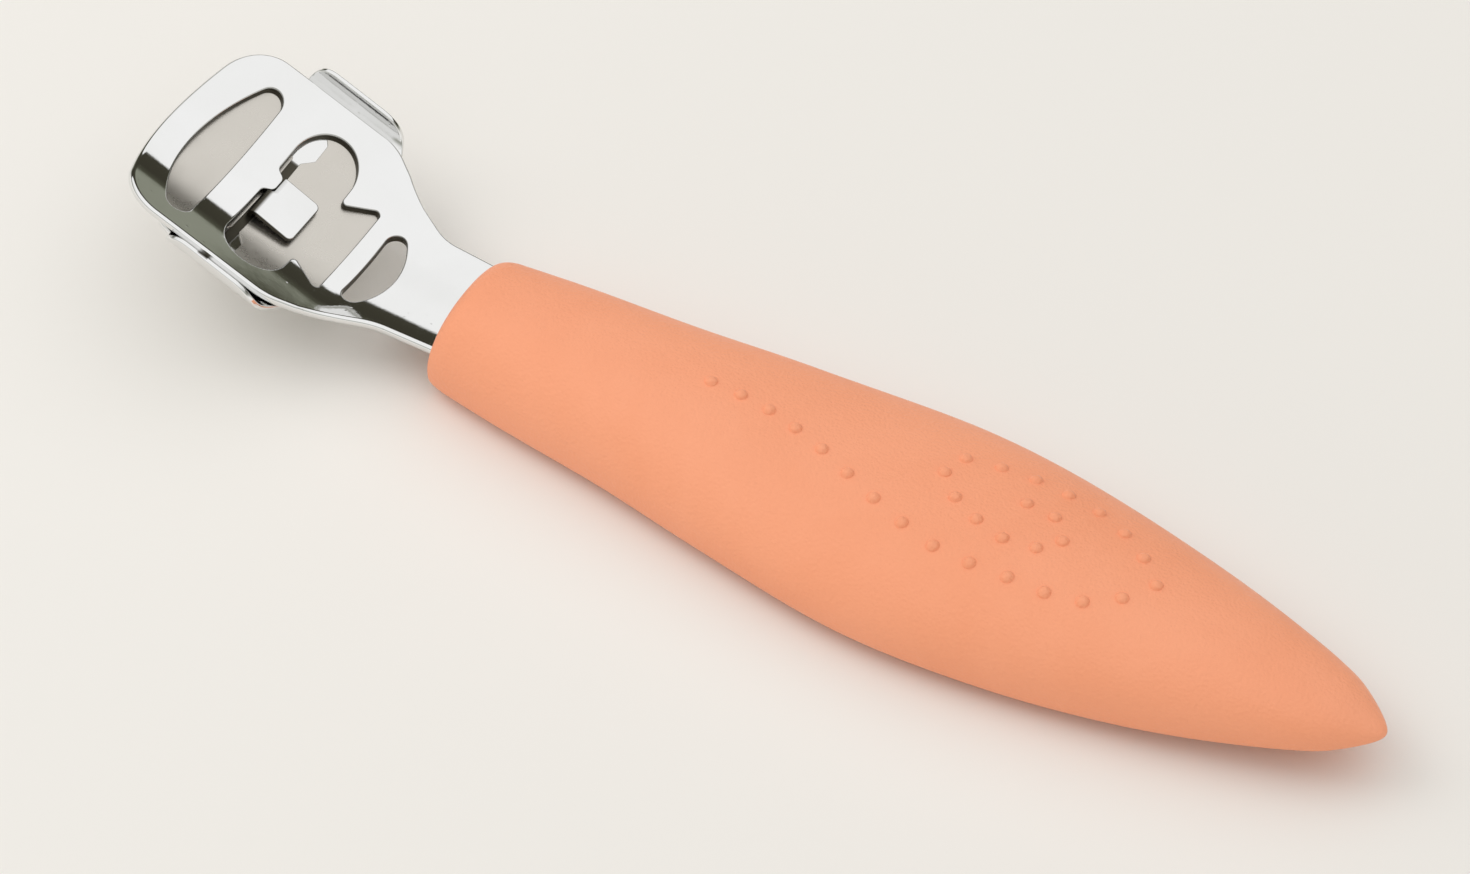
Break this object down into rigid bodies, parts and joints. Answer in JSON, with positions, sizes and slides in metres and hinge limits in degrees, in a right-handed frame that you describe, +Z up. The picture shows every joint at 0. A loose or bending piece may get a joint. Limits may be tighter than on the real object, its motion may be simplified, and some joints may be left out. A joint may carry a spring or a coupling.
{
  "type": "callus shaver",
  "caption": "Callus shaver: a curved chromed head that carries a thin bowed blade over a guard plate with side ears, on a broad moulded handle with raised grip dots.",
  "frame": {"origin": "on the table under the middle of the tool's length and width", "axes": "+X from the head to the tip of the handle, +Z up, as the tool lies on the handle's flat underside"},
  "size_m": [0.1702, 0.0338, 0.019],
  "materials": {
    "head_plate": "polished",
    "blade": "satin",
    "blade_holder": "polished",
    "handle": "matte"
  },
  "bodies": {
    "root": {"head_plate": "head_plate", "blade": "blade", "blade_holder": "blade_holder", "handle": "handle"}
  },
  "joints": []
}
